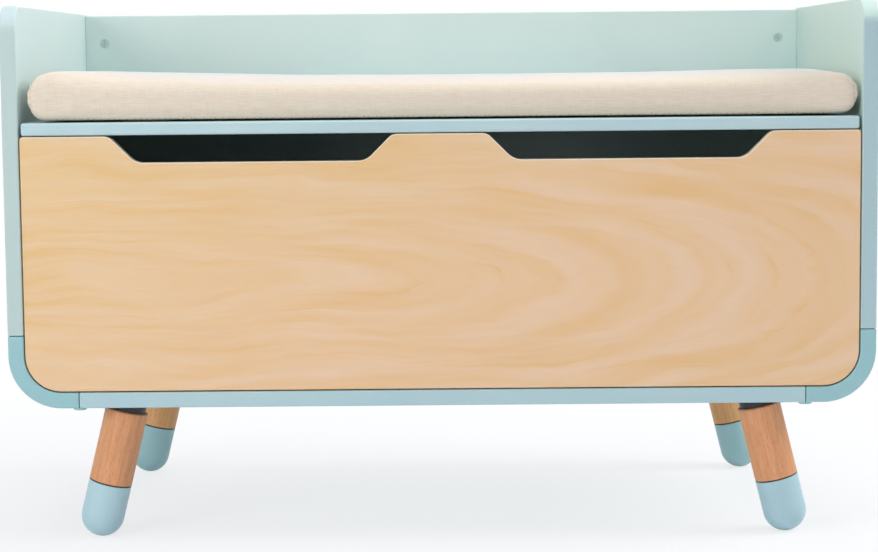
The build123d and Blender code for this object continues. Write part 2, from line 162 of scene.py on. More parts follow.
def turned_wood(name, pale, deep, fleck_colour, grain, shaded_from=None):
    """Beech under matt lacquer: growth bands, fine streaks and short rays along the grain, a unit vector.

    From a given distance along its grain the rod is painted dark: painted shade in the groove above its foot.
    """
    material, tree, shader = new_material(name)
    place = add(tree, "ShaderNodeTexCoord").outputs["Object"]
    lean = math.atan2(grain[0], -grain[2])
    upright = add(tree, "ShaderNodeMapping", {"Vector": place, "Rotation": (0.0, lean, 0.0)})
    noises = []
    for thickness, length, settings in (
        (0.006, 0.15, {"Detail": 3.0, "Distortion": 0.4}),
        (0.0016, 0.025, {"Detail": 2.0}),
        (0.0009, 0.006, {"Detail": 1.5}),
    ):
        size = (1 / thickness, 1 / thickness, 1 / length)
        drawn = add(tree, "ShaderNodeMapping", {"Vector": upright, "Scale": size})
        noises.append(add(tree, "ShaderNodeTexNoise", {"Vector": drawn, "Scale": 1.0, **settings}))
    band, streak, ray = noises
    fleck = add(tree, "ShaderNodeMapRange", {"Value": ray, "From Min": 0.58, "From Max": 0.76})
    tone = add(tree, "ShaderNodeValToRGB", {"Fac": band}, stops=[(0.3, deep), (0.7, pale)])
    marked = add(tree, "ShaderNodeMix", {0: fleck, 6: tone, 7: linear(fleck_colour)}, data_type="RGBA")
    light = add(
        tree, "ShaderNodeMapRange",
        {"Value": streak, "From Min": 0.3, "From Max": 0.7, "To Min": 0.9, "To Max": 1.1},
    )
    colour = add(tree, "ShaderNodeHueSaturation", {"Color": marked.outputs[2], "Value": light}).outputs[0]
    # Painted shade: the wood in the groove above the foot turns dark brown.
    if shaded_from is not None:
        shade_blend = 0.0003
        along = add(tree, "ShaderNodeVectorMath", {0: place, 1: tuple(grain)}, operation="DOT_PRODUCT")
        groove_shade = add(
            tree, "ShaderNodeMapRange",
            {"Value": along.outputs[1], "From Min": shaded_from - shade_blend, "From Max": shaded_from},
        )
        groove_shaded = add(tree, "ShaderNodeMix", {0: groove_shade, 6: colour, 7: linear("#3b2a1e")}, data_type="RGBA")
        colour = groove_shaded.outputs[2]
    bump = add(tree, "ShaderNodeBump", {"Height": ray, "Strength": 0.25, "Distance": 0.0001})
    tree.links.new(colour, shader.inputs["Base Color"])
    tree.links.new(bump.outputs[0], shader.inputs["Normal"])
    shader.inputs["Roughness"].default_value = 0.5
    return material


dowel_beech = turned_wood("fluted_beech_dowel", "#d9b48a", "#c99f72", "#a9794c", Vector((0.0, 0.0, -1.0)))
dress(dowel_beech, "corner_dowels")

# Front panel: a 12 mm board faced with pale veneer, sliced so that long nested arches of growth rings
# lie along it, under clear satin lacquer. Its top edge has two hand cut-outs.
veneer, tree, shader = new_material("clear_lacquered_veneer")
# The rings are low in contrast: a cream ground, honey lines that come and go, and hair-fine fibres.
# Faces that point up, mostly the cut edges, are painted a pale cream: a painted highlight where light from
# above catches them.
place = add(tree, "ShaderNodeTexCoord").outputs["Object"]
arch_start = (-0.35, 0.0, 0.25)
arch_slimness, arch_bluntness = 0.198, 2.2
ring_pitch, ring_length = 0.011, 0.16
noises = []
for size, settings in (
    ((0.16, 0.16, 0.06), {"Detail": 2.0}),
    ((0.035, 1.0, 0.009), {"Detail": 2.0}),
    ((0.12, 1.0, 0.03), {"Detail": 2.0}),
    ((0.022, 1.0, 0.003), {"Detail": 4.0, "Roughness": 0.6}),
):
    drawn = add(tree, "ShaderNodeMapping", {"Vector": place, "Scale": tuple(1 / length for length in size)})
    noises.append(add(tree, "ShaderNodeTexNoise", {"Vector": drawn, "Scale": 1.0, **settings}))
sway_noise, ripple_noise, fade_noise, fibre_noise = noises
centred = add(tree, "ShaderNodeMapping", {"Vector": place, "Location": tuple(-c for c in arch_start)})
sway_amount = add(tree, "ShaderNodeMapRange", {"Value": sway_noise, "To Min": -0.02, "To Max": 0.02})
split = add(tree, "ShaderNodeSeparateXYZ", {"Vector": centred})
height = add(tree, "ShaderNodeMath", {0: split.outputs[2], 1: sway_amount}, operation="ADD")
rise = add(tree, "ShaderNodeMath", {0: height}, operation="ABSOLUTE")
reach = add(tree, "ShaderNodeMath", {0: split.outputs[0], 1: 0.0}, operation="MAXIMUM")
rise_part = add(tree, "ShaderNodeMath", {0: rise, 1: arch_bluntness}, operation="POWER")
reach_part = add(tree, "ShaderNodeMath", {0: reach, 1: 2 * arch_bluntness}, operation="POWER")
both = add(
    tree, "ShaderNodeMath", {0: reach_part, 1: arch_slimness ** arch_bluntness, 2: rise_part},
    operation="MULTIPLY_ADD",
)
arch = add(tree, "ShaderNodeMath", {0: both, 1: 1 / arch_bluntness}, operation="POWER")
ripple_amount = add(tree, "ShaderNodeMapRange", {"Value": ripple_noise, "To Min": -0.0025, "To Max": 0.0025})
ring_place = add(tree, "ShaderNodeMath", {0: arch, 1: ripple_amount}, operation="ADD")
ring_turns = add(tree, "ShaderNodeMath", {0: ring_place, 1: ring_pitch}, operation="DIVIDE")
ring_run = add(tree, "ShaderNodeMath", {0: split.outputs[0], 1: ring_length}, operation="DIVIDE")
ring_spot = add(tree, "ShaderNodeCombineXYZ", {0: ring_turns, 1: ring_run})
ring_tone = add(
    tree, "ShaderNodeTexNoise", {"Vector": ring_spot, "Scale": 0.9, "Detail": 3.0, "Roughness": 0.55},
)
ring_step = add(tree, "ShaderNodeMath", {0: ring_turns}, operation="FRACT")
ring_line = add(tree, "ShaderNodeMath", {0: ring_step, 1: 7.0}, operation="POWER")
fade_amount = add(
    tree, "ShaderNodeMapRange", {"Value": fade_noise, "From Min": 0.48, "From Max": 0.78, "To Max": 0.35},
)
line = add(tree, "ShaderNodeMath", {0: ring_line, 1: fade_amount}, operation="MULTIPLY")
fibre_amount = add(tree, "ShaderNodeMapRange", {"Value": fibre_noise, "To Min": -0.15, "To Max": 0.15})
fibre_light = add(
    tree, "ShaderNodeMapRange",
    {"Value": fibre_noise, "From Min": 0.3, "From Max": 0.7, "To Min": 0.975, "To Max": 1.025},
)
ringed = add(tree, "ShaderNodeMath", {0: ring_tone, 1: line}, operation="ADD")
fibred = add(tree, "ShaderNodeMath", {0: ringed, 1: fibre_amount}, operation="ADD")
honey = add(
    tree, "ShaderNodeValToRGB", {"Fac": fibred},
    stops=[(0.3, "#ebcba0"), (0.5, "#e9c592"), (0.75, "#e7bc7c")],
)
rosy = add(
    tree, "ShaderNodeValToRGB", {"Fac": fibred},
    stops=[(0.3, "#f1cead"), (0.5, "#efc89d"), (0.75, "#ecbf87")],
)
drift = add(tree, "ShaderNodeVectorMath", {0: centred, 1: (1.1, 0.0, -2.6)}, operation="DOT_PRODUCT")
rosiness = add(
    tree, "ShaderNodeMapRange", {"Value": drift.outputs[1], "From Min": -0.45, "From Max": 0.55},
    interpolation_type="SMOOTHSTEP",
)
face = add(tree, "ShaderNodeMix", {0: rosiness, 6: honey, 7: rosy}, data_type="RGBA")
bump = add(tree, "ShaderNodeBump", {"Height": fibre_noise, "Strength": 0.12, "Distance": 0.0001})
fibred_face = add(tree, "ShaderNodeHueSaturation", {"Color": face.outputs[2], "Value": fibre_light})
# Painted highlight: faces that point up are mixed towards pale cream.
faced = add(tree, "ShaderNodeTexCoord").outputs["Normal"]
upward = add(tree, "ShaderNodeSeparateXYZ", {"Vector": faced}).outputs[2]
upward_highlight = add(tree, "ShaderNodeMapRange", {"Value": upward, "From Min": 0.3, "From Max": 0.45})
highlighted_face = add(tree, "ShaderNodeMix", {0: upward_highlight, 6: fibred_face, 7: linear("#fbe6cc")}, data_type="RGBA")
tree.links.new(highlighted_face.outputs[2], shader.inputs["Base Color"])
tree.links.new(bump.outputs[0], shader.inputs["Normal"])
shader.inputs["Roughness"].default_value = 0.42
dress(veneer, "front_panel")


def face_outward(mesh):
    """Turns all faces of a closed mesh to the outside."""
    turned = bmesh.new()
    turned.from_mesh(mesh)
    bmesh.ops.recalc_face_normals(turned, faces=turned.faces)
    turned.to_mesh(mesh)
    turned.free()


# The lower corners of the hand cut-outs are rounded by the cutter: a fillet stays between floor and slope,
# with the same eased front edge as the panel.
cut_depth, cut_slope, cut_round, eased_edge = 0.025, math.radians(45), 0.018, 0.0008
arc_steps, same_place = 13, 1e-5
panel_low, panel_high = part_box("front_panel")
cut_floor = panel_high.z - cut_depth
floor_ends = [
    v.co.x for v in nodes["front_panel"].data.vertices
    if abs(v.co.z - cut_floor) < same_place and abs(v.co.y - panel_high.y) < same_place
]
steepest = -math.pi / 2
arc = np.linspace(steepest, steepest - cut_slope, arc_steps)
layers = (
    (cut_round + eased_edge, panel_low.y), (cut_round, panel_low.y + eased_edge), (cut_round, panel_high.y),
)
layer_size = arc_steps + 1
fillet_points, fillet_faces = [], []
for side in (-1, 1):
    cut_ends = sorted(x for x in floor_ends if x * side > 0)
    for corner_x, way in ((cut_ends[0], 1), (cut_ends[-1], -1)):
        start = len(fillet_points)
        centre_x, centre_z = corner_x + way * cut_round * math.tan(cut_slope / 2), cut_floor + cut_round
        for radius, y in layers:
            to_corner = radius / math.cos(cut_slope / 2)
            for length, angle in [(to_corner, steepest - cut_slope / 2)] + [(radius, angle) for angle in arc]:
                x = centre_x + way * length * math.cos(angle)
                fillet_points.append((x, y, centre_z + length * math.sin(angle)))
        for step in range(1, arc_steps):
            for first in (start, start + 2 * layer_size):
                fillet_faces.append((first, first + step, first + step + 1))
        for first in (start, start + layer_size):
            for step in range(layer_size):
                here, after = first + step, first + (step + 1) % layer_size
                fillet_faces.append((here, after, after + layer_size, here + layer_size))
fillets = bpy.data.meshes.new("cut_out_fillets")
fillets.from_pydata(fillet_points, [], fillet_faces)
face_outward(fillets)
fillets.materials.append(veneer)
cut_out_fillets = bpy.data.objects.new("cut_out_fillets", fillets)
bpy.context.scene.collection.objects.link(cut_out_fillets)
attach(cut_out_fillets, "cabinet")

# Battens and cleats: planed pine strips screwed inside the box. The battens hold the front panel,
# the cleats carry the lid's ends.
pine, tree, shader = new_material("planed_pine")
# Pine shows clear yellow stripes of early and late wood and stays matt, since it has no finish.
place = add(tree, "ShaderNodeTexCoord").outputs["Object"]
stripes = add(tree, "ShaderNodeMapping", {"Vector": place, "Scale": (1 / 0.02, 1 / 0.004, 1 / 0.004)})
stripe = add(tree, "ShaderNodeTexNoise", {"Vector": stripes, "Scale": 1.0, "Detail": 2.0})
tone = add(tree, "ShaderNodeValToRGB", {"Fac": stripe}, stops=[(0.35, "#c9995d"), (0.62, "#e6c796")])
tree.links.new(tone.outputs[0], shader.inputs["Base Color"])
shader.inputs["Roughness"].default_value = 0.65
dress(pine, "front_batten_left", "front_batten_right", "floor_batten", "lid_cleat_left", "lid_cleat_right")

# Bumpers: small domes of clear silicone with a glued back. They are stuck on top of the cleats, so that
# the lid shuts without a knock and rests level.
silicone, tree, shader = new_material("clear_silicone")
# Silicone is milky rather than glassy: light enters, spreads and leaves a soft sheen.
place = add(tree, "ShaderNodeTexCoord").outputs["Object"]
haze = add(tree, "ShaderNodeTexNoise", {"Vector": place, "Scale": 1 / 0.003, "Detail": 1.0})
tone = add(tree, "ShaderNodeValToRGB", {"Fac": haze}, stops=[(0.3, "#dfe4e3"), (0.7, "#eef1f0")])
tree.links.new(tone.outputs[0], shader.inputs["Base Color"])
shader.inputs["Roughness"].default_value = 0.3
shader.inputs["Transmission Weight"].default_value = 0.5
shader.inputs["IOR"].default_value = 1.41
dress(silicone, "lid_bumpers")

# Rear rail and hinges: a painted rail screwed to the back carries two butt hinges of folded steel.
# A pin runs through the knuckles of each, tight enough to hold the lid where it is left.
dress(board_lacquer, "rear_seat_rail")
dress(
    zinc_plate,
    "hinge_left_rail_leaf", "hinge_right_rail_leaf", "hinge_left_lid_leaf", "hinge_right_lid_leaf",
    "hinge_left_pin", "hinge_right_pin",
)

# Seat lid: a 12 mm board with rounded edges, sprayed with the same lacquer as the carcass. It hangs on the
# hinges' front leaves and rests on the bumpers, with a small gap to each side panel.
lid_lacquer = sprayed_lacquer("satin_mint_lacquer_on_lid", "#c2d9da", "#b9d3d6")
dress(lid_lacquer, "seat_lid")

# Grip tape: woven nylon strips, hooks glued to the lid and loops sewn under the cushion. They keep the
# cushion from sliding and let go when it is lifted.
grip_tape, tree, shader = new_material("hook_and_loop_tape")
# The tape is matt and fuzzy, with rows of fine bristles 1.5 mm apart.
place = add(tree, "ShaderNodeTexCoord").outputs["Object"]
bristle = add(tree, "ShaderNodeTexVoronoi", {"Vector": place, "Scale": 1 / 0.0015}).outputs["Distance"]
tone = add(tree, "ShaderNodeValToRGB", {"Fac": bristle}, stops=[(0.1, "#efece5"), (0.6, "#d2cdc2")])
bump = add(tree, "ShaderNodeBump", {"Height": bristle, "Strength": 0.6, "Distance": 0.0005})
tree.links.new(tone.outputs[0], shader.inputs["Base Color"])
tree.links.new(bump.outputs[0], shader.inputs["Normal"])
shader.inputs["Roughness"].default_value = 0.9
dress(grip_tape, "lid_hook_strips", "cushion_loop_strips")

# Seat cushion: a foam slab in a sewn cover of unbleached linen and cotton. One long panel wraps the foam
# from front to rear, a rounded panel closes each end at a puckered seam, and the hem is whipped by hand.
foam_low, foam_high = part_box("seat_cushion")
front, rear, base = foam_low.y, foam_high.y, foam_low.z
crown, waist_share = 0.003, 0.55
shoulder = foam_high.z - crown
waist = base + waist_share * (shoulder - base)
half_length = (foam_high.x - foam_low.x) / 2
half_depth = (rear - front) / 2
middle_y = (front + rear) / 2
thread_cell, round_steps = 0.0065, 9
points_per_half = round((rear - front) / thread_cell) + round_steps - 1


def half_section(edge, rounding, way):
    """Half of the cushion's section, from its front to its rear, over the foam (way 1) or under it (-1)."""
    turn = np.linspace(0, math.pi / 2, round_steps)
    sweep = rounding * (1 - np.cos(turn))
    climb = edge - way * rounding * (1 - np.sin(turn))
    y = np.concatenate(([front], front + sweep, rear - sweep[::-1], [rear]))
    z = np.concatenate(([waist], climb, climb[::-1], [waist]))
    run = np.concatenate(([0.0], np.cumsum(np.hypot(np.diff(y), np.diff(z)))))
    even = np.linspace(0, run[-1], points_per_half + 1)
    return np.column_stack((np.interp(even, run, y), np.interp(even, run, z)))


base_round, top_round = 0.010, 0.012
under = half_section(base, base_round, -1)
over = half_section(shoulder, top_round, 1)
section = np.concatenate((under[:-1], over[:0:-1]))
lifted = np.clip((section[:, 1] - waist) / (shoulder - waist), 0, 1)
section[:, 1] += crown * lifted * (1 - ((section[:, 0] - middle_y) / half_depth) ** 2)
round_count = len(section)

top_reach, base_reach, squareness = 0.024, 0.018, 2 / 2.6
end_tuck, draw_in, end_focus, end_swing = 0.007, 0.003, 8, math.radians(83)
end_turns = np.linspace(0, end_swing, round_steps)[1:]
round_off = np.sin(end_turns) ** squareness
close_up = np.cos(end_turns) ** squareness
body_share = np.linspace(-1, 1, round(2 * half_length / thread_cell))
reach = base_reach + (top_reach - base_reach) * np.clip((section[:, 1] - base) / (shoulder - base), 0, 1)
outer = (half_length - reach)[None, :] + reach[None, :] * round_off[:, None]
cover = np.empty((len(body_share) + 2 * len(end_turns), round_count, 3))
cover[:, :, 0] = np.concatenate((-outer[::-1], body_share[:, None] * (half_length - reach)[None, :], outer))
flatten = np.concatenate((close_up[::-1], np.ones(len(body_share)), close_up))
cover[:, :, 1] = section[None, :, 0]
cover[:, :, 2] = waist + (section[None, :, 1] - waist) * flatten[:, None]
toward_middle = (middle_y - cover[:, :, 1]) / half_depth
along = cover[:, :, 0] / half_length
cover[:, :, 1] += toward_middle * (draw_in * (1 - along ** 2) + end_tuck * (1 - flatten[:, None]))
cover[:, :, 0] -= np.sign(along) * draw_in * np.abs(along) ** end_focus * (1 - toward_middle ** 2)


def sew(name, grid):
    """A closed cover from rows of points round the foam, with its thread lines as a UV map."""
    rows, around = grid.shape[:2]
    faces = [
        (row * around + spot, (row + 1) * around + spot, (row + 1) * around + after, row * around + after)
        for row in range(rows - 1)
        for spot, after in ((spot, (spot + 1) % around) for spot in range(around))
    ]
    tube_faces = len(faces)
    for first in (0, (rows - 1) * around):
        half = around // 2
        faces += [(first, first + 1, first + around - 1)]
        faces += [
            (first + spot, first + spot + 1, first + around - spot - 1, first + around - spot)
            for spot in range(1, half - 1)
        ]
        faces += [(first + half - 1, first + half, first + half + 1)]
    mesh = bpy.data.meshes.new(name)
    mesh.from_pydata([tuple(point) for point in grid.reshape(-1, 3)], [], faces)
    steps_along = np.linalg.norm(np.diff(grid, axis=0), axis=2)
    steps_round = np.linalg.norm(np.diff(grid[rows // 2], axis=0), axis=1)
    weft = np.vstack((np.zeros(around), np.cumsum(steps_along, axis=0)))
    weft -= weft[rows // 2]
    warp = np.concatenate(([0.0], np.cumsum(steps_round)))
    threads = mesh.uv_layers.new(name="thread_lines")
    for number, face in enumerate(faces):
        for corner, vertex in zip(mesh.polygons[number].loop_indices, mesh.polygons[number].vertices):
            row, spot = divmod(vertex, around)
            if number >= tube_faces:
                threads.data[corner].uv = grid[row, spot, 1:]
            elif spot == 0 and face[2] % around == 0:
                threads.data[corner].uv = (weft[row, spot], warp[-1] + thread_cell)
            else:
                threads.data[corner].uv = (weft[row, spot], warp[spot])
    face_outward(mesh)
    return mesh


def settle(piece):
    """Turns what a piece's modifiers make of it into its own plain mesh."""
    graph = bpy.context.evaluated_depsgraph_get()
    done = bpy.data.meshes.new_from_object(piece.evaluated_get(graph), depsgraph=graph)
    piece.modifiers.clear()
    piece.data = done
    return piece


cushion = bpy.data.objects.new("linen_seat_cushion", sew("cut_cover", cover))
bpy.context.scene.collection.objects.link(cushion)
resting_height, swell_cap, swell_time = 0.0012, 0.006, 20
end_grip, least_slack = 0.08, 0.15
held = cushion.vertex_groups.new(name="held_on_lid")
lowest = np.nonzero(cover.reshape(-1, 3)[:, 2] < base + resting_height)[0]
held.add([int(number) for number in lowest], 1.0, "REPLACE")
cloth = cushion.modifiers.new("linen_cover", "CLOTH")
cloth.settings.quality = 6
cloth.settings.mass = 0.25
cloth.settings.tension_stiffness = 12
cloth.settings.compression_stiffness = 12
cloth.settings.shear_stiffness = 4
cloth.settings.bending_stiffness = 0.6
cloth.settings.use_pressure = True
cloth.settings.uniform_pressure_force = 4.0
cloth.settings.effector_weights.gravity = 0.0
cloth.settings.vertex_group_mass = held.name
cloth.collision_settings.use_collision = False
for moment in range(1, swell_time + 1):
    bpy.context.scene.frame_set(moment)
graph = bpy.context.evaluated_depsgraph_get()
swollen = np.array([v.co for v in cushion.evaluated_get(graph).data.vertices]).reshape(cover.shape)
cushion.modifiers.clear()
bpy.context.scene.frame_set(1)
move = swollen - cover
moved = np.linalg.norm(move, axis=2, keepdims=True)
slack = np.clip((half_length - np.abs(cover[:, :, :1])) / end_grip, least_slack, 1.0)
cover = cover + move * slack * np.minimum(1.0, swell_cap / np.maximum(moved, 1e-9))

# The filled cover settles to its place: 8.5 mm off the left arm and 3.5 mm off the right one, sat in a
# little at the middle and fuller towards the ends.
left_end, right_end = -0.3865, 0.3915
low_x, high_x = cover[:, :, 0].min(), cover[:, :, 0].max()
cover[:, :, 0] = left_end + (cover[:, :, 0] - low_x) * (right_end - left_end) / (high_x - low_x)
low_y, high_y = cover[:, :, 1].min(), cover[:, :, 1].max()
cover[:, :, 1] = front + (cover[:, :, 1] - low_y) * (rear - front) / (high_y - low_y)
full_at = (-0.33, -0.26, -0.2, -0.15, 0.0, 0.2, 0.32)
full_height = (0.045, 0.043, 0.0415, 0.040, 0.039, 0.0395, 0.0415)
fullness = np.interp(cover[:, :, 0].mean(1), full_at, full_height)
inner_rows = slice(len(end_turns), -len(end_turns))
crest = np.pad(cover[inner_rows, :, 2].max(1) - base, len(end_turns), mode="edge")
cover[:, :, 2] = base + (cover[:, :, 2] - base) * (fullness / crest)[:, None]

# At the left end the filling has crept to the front, which stands up fuller there.
crept_at, crept_height = (-0.384, -0.362, -0.28), (0.002, 0.004, 0.0)
to_front = np.interp(cover[:, :, 1], (front, middle_y), (1, 0))
crept = np.interp(cover[:, :, 0], crept_at, crept_height) * to_front
cover[:, :, 2] += crept * np.clip((cover[:, :, 2] - waist) / (shoulder - waist), 0, 1)

# The end seams: the cover's rows next to each seam come close and the seam itself is pulled in.
seam_depth, seam_half, seam_from_end = 0.0008, 0.35, 3
seam_rows = (seam_from_end, len(cover) - 1 - seam_from_end)
tangents = np.gradient(cover, axis=0), np.roll(cover, -1, axis=1) - np.roll(cover, 1, axis=1)
inward = np.cross(*tangents)
inward /= np.linalg.norm(inward, axis=2, keepdims=True)
inward *= np.where(((cover.mean((0, 1)) - cover) * inward).sum(2).mean() < 0, -1, 1)
sewn_rows = []
for row in range(len(cover)):
    if row in seam_rows:
        sewn_rows.append(cover[row] + seam_half * (cover[row - 1] - cover[row]))
        sewn_rows.append(cover[row] + seam_depth * inward[row])
        sewn_rows.append(cover[row] + seam_half * (cover[row + 1] - cover[row]))
    else:
        sewn_rows.append(cover[row])
seam_paths = [cover[row] + seam_depth * inward[row] for row in seam_rows]
cushion.data = sew("linen_seat_cushion", np.array(sewn_rows))
finer = cushion.modifiers.new("finer_cover", "SUBSURF")
finer.levels = finer.render_levels = 1
settle(cushion)

# Puckers run out from the end seams where the thread has gathered the cloth, unevenly and not underneath.
pucker_pitch, pucker_height, pucker_reach, pucker_start = 0.011, 0.0006, 0.012, 0.01
drift_swing, drift_length = 1.7, 0.017
points = np.array([v.co for v in cushion.data.vertices])
normals = np.array([v.normal for v in cushion.data.vertices])
seam_x = (seam_paths[0][:, 0].mean(), seam_paths[1][:, 0].mean())
from_seam = np.minimum(np.abs(points[:, 0] - seam_x[0]), np.abs(points[:, 0] - seam_x[1]))
girth = np.where(points[:, 1] < middle_y, points[:, 1] + points[:, 2], points[:, 1] - points[:, 2])
wave = np.sin(2 * math.pi * girth / pucker_pitch + drift_swing * np.sin(girth / drift_length))
off_base = np.clip((points[:, 2] - base) / pucker_start, 0, 1)
points += normals * (pucker_height * wave * np.exp(-from_seam / pucker_reach) * off_base)[:, None]
cushion.data.vertices.foreach_set("co", points.astype(np.float32).ravel())
cushion.data.update()
for polygon in cushion.data.polygons:
    polygon.use_smooth = True

linen, tree, shader = new_material("unbleached_linen_weave")
# A plain weave of uneven yarn: thick and thin slubs run along the seat, fainter ones across it, and the cloth
# is dull and warm with a pale bloom at its edges. Its real threads are 0.6 mm apart, its slubs 1.3 to 1.5 mm.
warp_share = 0.4
yarn = add(tree, "ShaderNodeUVMap", uv_map="thread_lines")
weft = add(tree, "ShaderNodeMapping", {"Vector": yarn, "Scale": (1 / 0.014, 1 / 0.0013, 1.0)})
weft_slub = add(tree, "ShaderNodeTexNoise", {"Vector": weft, "Scale": 1.0, "Detail": 2.5})
warp = add(tree, "ShaderNodeMapping", {"Vector": yarn, "Scale": (1 / 0.0015, 1 / 0.018, 1.0)})
warp_slub = add(tree, "ShaderNodeTexNoise", {"Vector": warp, "Scale": 1.0, "Detail": 2.5})
woven = add(tree, "ShaderNodeMath", {0: warp_slub, 1: warp_share, 2: weft_slub}, operation="MULTIPLY_ADD")
evened = add(tree, "ShaderNodeMath", {0: woven, 1: 1 + warp_share}, operation="DIVIDE")
tone = add(
    tree, "ShaderNodeValToRGB", {"Fac": evened},
    stops=[(0.32, "#e3d1ba"), (0.5, "#e9d9c4"), (0.68, "#ede0cf")],
)
bump = add(tree, "ShaderNodeBump", {"Height": woven, "Strength": 0.35, "Distance": 0.0003})
tree.links.new(tone.outputs[0], shader.inputs["Base Color"])
tree.links.new(bump.outputs[0], shader.inputs["Normal"])
shader.inputs["Roughness"].default_value = 0.9
shader.inputs["Sheen Weight"].default_value = 0.8
shader.inputs["Sheen Roughness"].default_value = 0.3
shader.inputs["Sheen Tint"].default_value = linear("#e4efff")
cushion.data.materials.clear()
cushion.data.materials.append(linen)
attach(cushion, "cushion")
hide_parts("seat_cushion")

# Stitching: waxed linen thread, in small running stitches along both end seams and in upright whip
# stitches over the hem along the front and the rear.
thread, tree, shader = new_material("waxed_linen_thread")
# Twisted thread: a shade browner than the cloth, with fine turns of light and dark along it.
place = add(tree, "ShaderNodeTexCoord").outputs["Object"]
twist = add(tree, "ShaderNodeTexNoise", {"Vector": place, "Scale": 1 / 0.0007, "Detail": 1.0})
tone = add(tree, "ShaderNodeValToRGB", {"Fac": twist}, stops=[(0.35, "#b99f7c"), (0.65, "#d8c4a6")])
tree.links.new(tone.outputs[0], shader.inputs["Base Color"])
shader.inputs["Roughness"].default_value = 0.8


def repeat_group(name, *sizes):
    """A group that repeats one piece on points, with named sizes as its inputs."""
    group = bpy.data.node_groups.new(name, "GeometryNodeTree")
    group.interface.new_socket("Geometry", in_out="OUTPUT", socket_type="NodeSocketGeometry")
    group.interface.new_socket("Geometry", in_out="INPUT", socket_type="NodeSocketGeometry")
    for size in sizes:
        group.interface.new_socket(size, in_out="INPUT", socket_type="NodeSocketFloat")
    facing = add(group, "GeometryNodeInputNamedAttribute", {"Name": "facing"}, data_type="FLOAT_VECTOR")
    turned = add(group, "FunctionNodeAlignRotationToVector", {"Vector": facing}, axis="Z")
    return group, add(group, "NodeGroupInput").outputs, turned


def end_group(group, given, piece, turned, material):
    """Ends a group: the piece on every point, turned its way, made real and given its material."""
    placed = add(
        group, "GeometryNodeInstanceOnPoints",
        {"Points": given["Geometry"], "Instance": piece, "Rotation": turned},
    )
    real = add(group, "GeometryNodeRealizeInstances", {0: placed})
    finished = add(group, "GeometryNodeSetMaterial", {0: real, "Material": material})
    add(group, "NodeGroupOutput", {0: finished})


def set_out(name, group, seats, sizes):
    """A plain mesh of a group's piece on its seats, each a place and the way that it faces there."""
    mesh = bpy.data.meshes.new(name)
    mesh.from_pydata([tuple(place) for place, _ in seats], [], [])
    facing = mesh.attributes.new("facing", "FLOAT_VECTOR", "POINT")
    facing.data.foreach_set("vector", np.array([tuple(way) for _, way in seats], np.float32).ravel())
    row = bpy.data.objects.new(name, mesh)
    bpy.context.scene.collection.objects.link(row)
    fill = row.modifiers.new(group.name, "NODES")
    fill.node_group = group
    sockets = {item.name: item.identifier for item in group.interface.items_tree}
    for size, value in sizes.items():
        fill[sockets[size]] = value
    return settle(row)


stitches, given, laid = repeat_group("thread_stitches", "Stitch Length", "Thread Radius")
bead = add(stitches, "GeometryNodeMeshUVSphere", {"Segments": 8, "Rings": 6, "Radius": 1.0})
half_stitch = add(stitches, "ShaderNodeMath", {0: given["Stitch Length"], 1: 0.5}, operation="MULTIPLY")
drawn_out = add(
    stitches, "ShaderNodeCombineXYZ", {0: given["Thread Radius"], 1: given["Thread Radius"], 2: half_stitch},
)
stitch = add(stitches, "GeometryNodeTransform", {"Geometry": bead, "Scale": drawn_out})
end_group(stitches, given, stitch, laid, thread)

skin = BVHTree.FromPolygons(
    [v.co.copy() for v in cushion.data.vertices], [tuple(p.vertices) for p in cushion.data.polygons],
)
hem_height = 0.0008
lower_front = np.arange(points_per_half // 3)
hem_spot = int(lower_front[np.argmin(np.abs(section[lower_front, 1] - base - hem_height))])
hems = [cover[inner_rows, hem_spot], cover[inner_rows, points_per_half - hem_spot]]
whip_pitch, run_pitch, hand_slip, look_ahead = 0.006, 0.0045, 0.2, 0.001
whips, runs = [], []
by_hand = np.random.default_rng(5)
for path, pitch, found in (
    (hems[0], whip_pitch, whips), (hems[1], whip_pitch, whips),
    (seam_paths[0], run_pitch, runs), (seam_paths[1], run_pitch, runs),
):
    run = np.concatenate(([0.0], np.cumsum(np.linalg.norm(np.diff(path, axis=0), axis=1))))
    slips = by_hand.uniform(-hand_slip, hand_slip, int(run[-1] / pitch + 0.5)) * pitch
    for reach in np.arange(pitch / 2, run[-1], pitch) + slips:
        spot = Vector([np.interp(reach, run, path[:, axis]) for axis in range(3)])
        ahead = Vector([np.interp(reach + look_ahead, run, path[:, axis]) for axis in range(3)]) - spot
        near, normal = skin.find_nearest(spot)[:2]
        across = normal.cross(ahead)
        found.append((near, across if found is whips else ahead))
for name, found, radius in (("hem_whip_stitches", whips, 0.00055), ("seam_running_stitches", runs, 0.0004)):
    row = set_out(name, stitches, found, {"Stitch Length": 0.0032, "Thread Radius": radius})
    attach(row, "cushion")

# Leg plates: pressed steel wedges with a black powder coat, screwed under the bottom. They set the
# legs' splay and take the hanger bolts that the legs turn onto.
powder_coat, tree, shader = new_material("black_powder_coat")
# Powder coat melts into a fine pebbled skin, near black, with small broken highlights.
place = add(tree, "ShaderNodeTexCoord").outputs["Object"]
pebble = add(tree, "ShaderNodeTexNoise", {"Vector": place, "Scale": 1 / 0.0009, "Detail": 1.0})
tone = add(tree, "ShaderNodeValToRGB", {"Fac": pebble}, stops=[(0.3, "#1d2022"), (0.7, "#2b2f31")])
bump = add(tree, "ShaderNodeBump", {"Height": pebble, "Strength": 0.5, "Distance": 0.0002})
tree.links.new(tone.outputs[0], shader.inputs["Base Color"])
tree.links.new(bump.outputs[0], shader.inputs["Normal"])
shader.inputs["Roughness"].default_value = 0.45
corners = [f"{end}_{side}" for end in ("front", "rear") for side in ("left", "right")]
dress(powder_coat, *[f"leg_plate_{corner}" for corner in corners])
dress(zinc_plate, "hanger_bolts")
